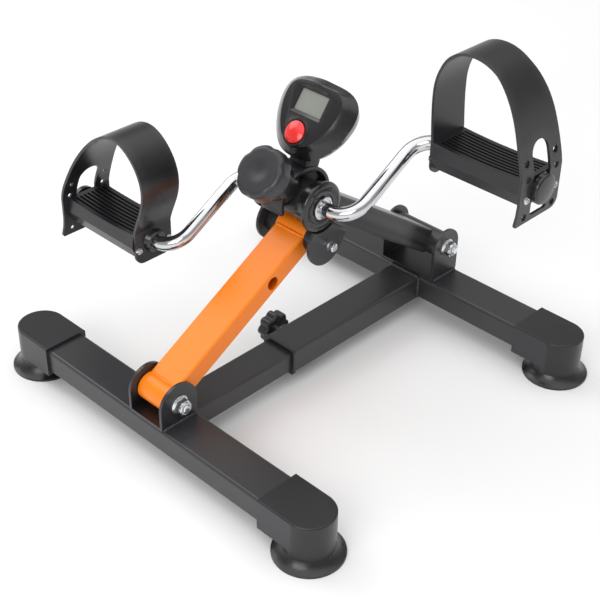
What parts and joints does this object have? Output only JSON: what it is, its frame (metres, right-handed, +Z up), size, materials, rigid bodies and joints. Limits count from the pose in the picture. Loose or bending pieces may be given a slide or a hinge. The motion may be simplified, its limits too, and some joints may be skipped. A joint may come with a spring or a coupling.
{
  "type": "pedal exerciser",
  "caption": "Floor-standing pedal exerciser: folding triangular frame on suction feet, one-piece crank, strapped pedals, brake knob and small console.",
  "frame": {"origin": "on the floor, midway between the four feet", "axes": "+X along the crossbars, towards the nuts' side; +Y from the arm's crossbar to the strut's crossbar; +Z up"},
  "size_m": [0.413, 0.4002, 0.3435],
  "materials": {
    "black_powder_coat": "satin powder coat",
    "amber_paint": "gloss powder coat",
    "black_plastic": "fine matte grain",
    "gloss_black_plastic": "polished",
    "black_rubber": "smooth moulded",
    "knob_plastic": "satin",
    "chrome_plate": "polished chrome",
    "zinc_plate": "bright zinc",
    "drum_steel": "turned",
    "pad_fibre": "pressed fibre",
    "red_plastic": "glossy",
    "display": "liquid crystal display, blank",
    "board": "printed board"
  },
  "bodies": {
    "rear_base": {"rear_crossbar": "black_powder_coat", "rear_bracket": "black_powder_coat", "rear_pivot_bolt": "zinc_plate", "rear_pivot_washer": "zinc_plate", "rear_pivot_nut": "zinc_plate", "rear_cap_left": "black_plastic", "rear_cap_right": "black_plastic", "rear_foot_left": "black_rubber", "rear_foot_right": "black_rubber", "beam_sleeve": "black_powder_coat", "sleeve_collar": "black_plastic", "weld_boss": "black_powder_coat"},
    "front_base": {"front_crossbar": "black_powder_coat", "front_bracket": "black_powder_coat", "front_pivot_bolt": "zinc_plate", "front_pivot_washer": "zinc_plate", "front_pivot_nut": "zinc_plate", "front_cap_left": "black_plastic", "front_cap_right": "black_plastic", "front_foot_left": "black_rubber", "front_foot_right": "black_rubber", "inner_beam": "black_powder_coat", "beam_plug": "black_plastic"},
    "arm": {"arm_tube": "amber_paint", "arm_lower_barrel": "amber_paint", "arm_upper_barrel": "amber_paint", "arm_lower_bushings": "black_plastic", "arm_upper_bushings": "black_plastic"},
    "strut": {"strut_tube": "black_powder_coat", "strut_barrel": "black_powder_coat", "strut_bushings": "black_plastic", "fork_bracket": "black_powder_coat", "hub_shell": "black_powder_coat", "hub_bearings": "zinc_plate", "hub_cap_left": "gloss_black_plastic", "hub_cap_right": "gloss_black_plastic", "brake_housing": "black_plastic", "brake_pad": "pad_fibre", "console_front": "black_plastic", "console_back": "black_plastic", "lcd_panel": "display", "circuit_board": "board"},
    "crank": {"crank": "chrome_plate", "axle_cones": "chrome_plate", "friction_drum": "drum_steel"},
    "pedal_left": {"pedal_body_left": "black_plastic", "pedal_strap_left": "black_plastic", "strap_screws_left": "chrome_plate", "axle_cap_left": "gloss_black_plastic"},
    "pedal_right": {"pedal_body_right": "black_plastic", "pedal_strap_right": "black_plastic", "strap_screws_right": "chrome_plate", "axle_cap_right": "gloss_black_plastic"},
    "tension_knob": {"tension_knob": "knob_plastic", "tension_screw": "zinc_plate"},
    "base_lock": {"base_lock_knob": "knob_plastic", "base_lock_stud": "zinc_plate"},
    "lock_pin": {"lock_pin": "zinc_plate", "pull_ring": "zinc_plate"},
    "reset_button": {"reset_button": "red_plastic"}
  },
  "joints": [
    {"name": "base_slide", "type": "slide", "parent": "rear_base", "child": "front_base", "axis": [0, 1, 0], "range_m": [-0.01, 0.04]},
    {"name": "arm_pivot", "type": "hinge", "parent": "front_base", "child": "arm", "pos_m": [0, -0.16925, 0.062], "axis": [1, 0, 0], "range_deg": [-3.1, 12.1]},
    {"name": "strut_pivot", "type": "hinge", "parent": "rear_base", "child": "strut", "pos_m": [0, 0.17045, 0.076], "axis": [-1, 0, 0], "range_deg": [-2.9, 11.2]},
    {"name": "crank_spin", "type": "hinge", "parent": "strut", "child": "crank", "pos_m": [0, -0.00977, 0.19351], "axis": [1, 0, 0], "continuous": true},
    {"name": "pedal_left_spin", "type": "hinge", "parent": "crank", "child": "pedal_left", "pos_m": [0, -0.09637, 0.14351], "axis": [1, 0, 0], "continuous": true},
    {"name": "pedal_right_spin", "type": "hinge", "parent": "crank", "child": "pedal_right", "pos_m": [0, 0.07683, 0.24351], "axis": [1, 0, 0], "continuous": true},
    {"name": "tension_turn", "type": "hinge", "parent": "strut", "child": "tension_knob", "pos_m": [0, -0.00977, 0.19351], "axis": [0, -0.7431, 0.6691], "range_deg": [-720, 720]},
    {"name": "base_lock_turn", "type": "hinge", "parent": "rear_base", "child": "base_lock", "pos_m": [-0.03, -0.001, 0.0292], "axis": [-1, 0, 0], "range_deg": [0, 720]},
    {"name": "lock_pin_slide", "type": "slide", "parent": "strut", "child": "lock_pin", "axis": [-1, 0, 0], "range_m": [0, 0.08]},
    {"name": "reset_press", "type": "slide", "parent": "strut", "child": "reset_button", "axis": [0, 0.7944, -0.6074], "range_m": [0, 0.0012], "stiffness_N_per_m": 600}
  ],
  "couplings": [
    {"joint": "arm_pivot", "follows": "base_slide", "rad_per_m": 5.236},
    {"joint": "strut_pivot", "follows": "base_slide", "rad_per_m": 4.837}
  ]
}
